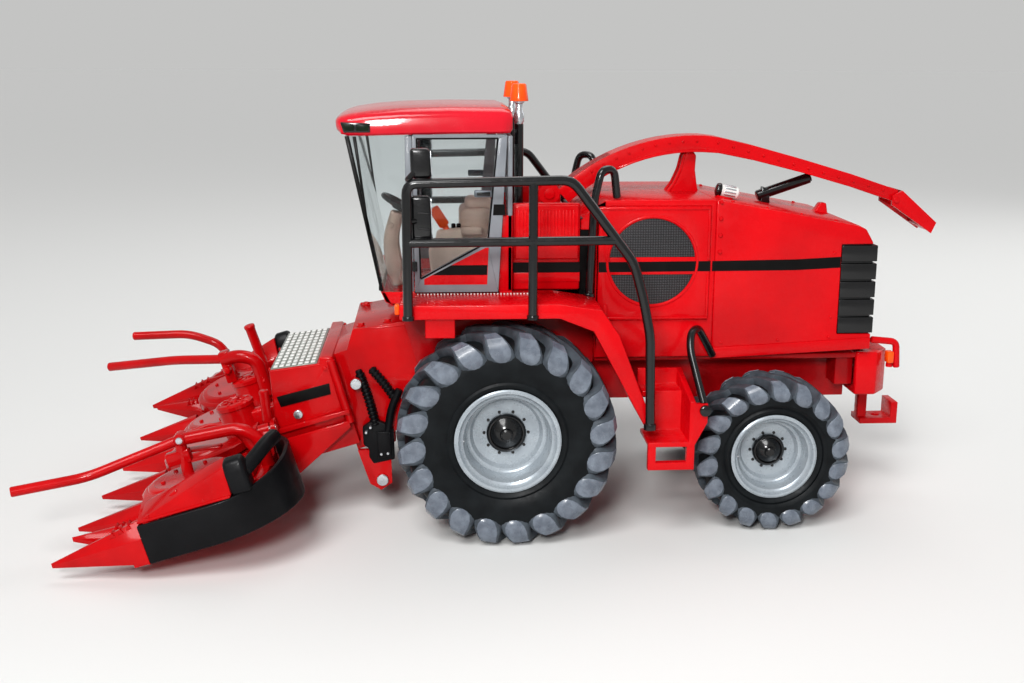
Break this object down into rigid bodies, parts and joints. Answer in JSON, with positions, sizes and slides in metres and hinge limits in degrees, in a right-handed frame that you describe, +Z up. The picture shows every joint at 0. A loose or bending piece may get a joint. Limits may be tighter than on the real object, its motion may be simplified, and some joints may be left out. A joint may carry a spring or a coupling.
{
  "type": "scale model forage harvester",
  "caption": "Scale model of a self-propelled forage harvester with cab, turning spout, steered rear wheels and a folding rotary maize header.",
  "frame": {"origin": "On the floor, centred under the model's length and width; the front axle is above it.", "axes": "+X forward towards the header, +Y to the machine's left, +Z up."},
  "size_m": [0.2461, 0.1267, 0.1172],
  "materials": {
    "red_metal": "gloss enamel",
    "red_plastic": "gloss",
    "black_plastic": "satin",
    "grey_metal": "satin",
    "frame_grey": "satin",
    "orange_lens": "gloss",
    "tyre_rubber": "satin",
    "rim_silver": "satin",
    "clear_glazing": "clear",
    "beige_plastic": "matt",
    "bright_silver": "polished"
  },
  "bodies": {
    "machine": {"chassis": "red_metal", "front_axle": "red_metal", "rear_axle": "red_metal", "body_shell": "red_metal", "platform_l": "red_plastic", "platform_r": "red_plastic", "steps": "red_plastic", "railing_l": "black_plastic", "railing_r": "black_plastic", "louvre_box": "red_plastic", "hood_front": "red_metal", "hood_rear": "red_metal", "side_panel_l": "red_plastic", "side_panel_r": "red_plastic", "rear_grille": "black_plastic", "exhaust": "black_plastic", "filler_cap": "bright_silver", "spout_rest": "red_plastic", "rear_bumper": "red_plastic", "lamp_bars": "red_plastic", "marker_lamps": "orange_lens", "hitch": "red_plastic", "grab_handles": "black_plastic", "cab_body": "red_metal", "cab_glass": "clear_glazing", "cab_roof": "red_plastic", "seat": "beige_plastic", "steering_column": "beige_plastic", "beacon_posts": "black_plastic", "beacon_lenses": "orange_lens"},
    "wheel_fl": {"tyre_fl": "tyre_rubber", "rim_fl": "rim_silver"},
    "wheel_fr": {"tyre_fr": "tyre_rubber", "rim_fr": "rim_silver"},
    "knuckle_l": {"knuckle_l": "grey_metal"},
    "knuckle_r": {"knuckle_r": "grey_metal"},
    "wheel_rl": {"tyre_rl": "tyre_rubber", "rim_rl": "rim_silver"},
    "wheel_rr": {"tyre_rr": "tyre_rubber", "rim_rr": "rim_silver"},
    "door_l": {"door_l": "frame_grey", "door_glass_l": "clear_glazing"},
    "door_r": {"door_r": "frame_grey", "door_glass_r": "clear_glazing"},
    "turret": {"turret": "black_plastic"},
    "spout": {"spout": "red_plastic"},
    "spout_flap": {"spout_flap": "red_plastic"},
    "feeder": {"feeder": "red_plastic", "feeder_hoses": "black_plastic", "header_centre": "red_plastic"},
    "wing_l": {"wing_l": "red_plastic", "shield_l": "black_plastic"},
    "wing_r": {"wing_r": "red_plastic", "shield_r": "black_plastic"},
    "rotor_1": {"rotor_1": "red_plastic"},
    "rotor_2": {"rotor_2": "red_plastic"},
    "rotor_3": {"rotor_3": "red_plastic"},
    "rotor_4": {"rotor_4": "red_plastic"}
  },
  "joints": [
    {"name": "spin_fl", "type": "hinge", "parent": "machine", "child": "wheel_fl", "pos_m": [0, 0.035, 0.0285], "axis": [0, 1, 0], "continuous": true},
    {"name": "spin_fr", "type": "hinge", "parent": "machine", "child": "wheel_fr", "pos_m": [0, -0.035, 0.0285], "axis": [0, 1, 0], "continuous": true},
    {"name": "steer_l", "type": "hinge", "parent": "machine", "child": "knuckle_l", "pos_m": [-0.0712, 0.018, 0.0208], "axis": [0, 0, 1], "range_deg": [-15, 15]},
    {"name": "steer_r", "type": "hinge", "parent": "machine", "child": "knuckle_r", "pos_m": [-0.0712, -0.018, 0.0208], "axis": [0, 0, 1], "range_deg": [-15, 15]},
    {"name": "spin_rl", "type": "hinge", "parent": "knuckle_l", "child": "wheel_rl", "pos_m": [-0.0712, 0.0295, 0.0208], "axis": [0, 1, 0], "continuous": true},
    {"name": "spin_rr", "type": "hinge", "parent": "knuckle_r", "child": "wheel_rr", "pos_m": [-0.0712, -0.0295, 0.0208], "axis": [0, 1, 0], "continuous": true},
    {"name": "door_l_hinge", "type": "hinge", "parent": "machine", "child": "door_l", "pos_m": [0.0233, 0.0284, 0.084], "axis": [0, 0, -1], "range_deg": [0, 35]},
    {"name": "door_r_hinge", "type": "hinge", "parent": "machine", "child": "door_r", "pos_m": [0.0233, -0.0284, 0.084], "axis": [0, 0, 1], "range_deg": [0, 35]},
    {"name": "spout_slew", "type": "hinge", "parent": "machine", "child": "turret", "pos_m": [-0.013, 0, 0.083], "axis": [0, 0, 1], "range_deg": [-90, 90]},
    {"name": "spout_lift", "type": "hinge", "parent": "turret", "child": "spout", "pos_m": [-0.0136, 0, 0.0872], "axis": [0, 1, 0], "range_deg": [0, 20]},
    {"name": "flap_tilt", "type": "hinge", "parent": "spout", "child": "spout_flap", "pos_m": [-0.111, 0, 0.0852], "axis": [0, 1, 0], "range_deg": [-25, 20]},
    {"name": "feeder_lift", "type": "hinge", "parent": "machine", "child": "feeder", "pos_m": [0.014, 0, 0.038], "axis": [0, -1, 0], "range_deg": [-2, 12]},
    {"name": "wing_l_fold", "type": "hinge", "parent": "feeder", "child": "wing_l", "pos_m": [0.06395, 0.027, 0.02721], "axis": [0.9613, 0, -0.2756], "range_deg": [0, 80]},
    {"name": "wing_r_fold", "type": "hinge", "parent": "feeder", "child": "wing_r", "pos_m": [0.06395, -0.027, 0.02721], "axis": [-0.9613, 0, 0.2756], "range_deg": [-9, 71]},
    {"name": "rotor_1_spin", "type": "hinge", "parent": "wing_l", "child": "rotor_1", "pos_m": [0.07907, 0.0405, 0.01247], "axis": [0.2756, 0, 0.9613], "continuous": true},
    {"name": "rotor_2_spin", "type": "hinge", "parent": "feeder", "child": "rotor_2", "pos_m": [0.07907, 0.0135, 0.01247], "axis": [0.2756, 0, 0.9613], "continuous": true},
    {"name": "rotor_3_spin", "type": "hinge", "parent": "feeder", "child": "rotor_3", "pos_m": [0.07907, -0.0135, 0.01247], "axis": [0.2756, 0, 0.9613], "continuous": true},
    {"name": "rotor_4_spin", "type": "hinge", "parent": "wing_r", "child": "rotor_4", "pos_m": [0.07969, -0.0419, 0.01462], "axis": [0.2722, 0.1564, 0.9494], "continuous": true}
  ],
  "couplings": [
    {"joint": "steer_r", "follows": "steer_l", "ratio": 1}
  ]
}
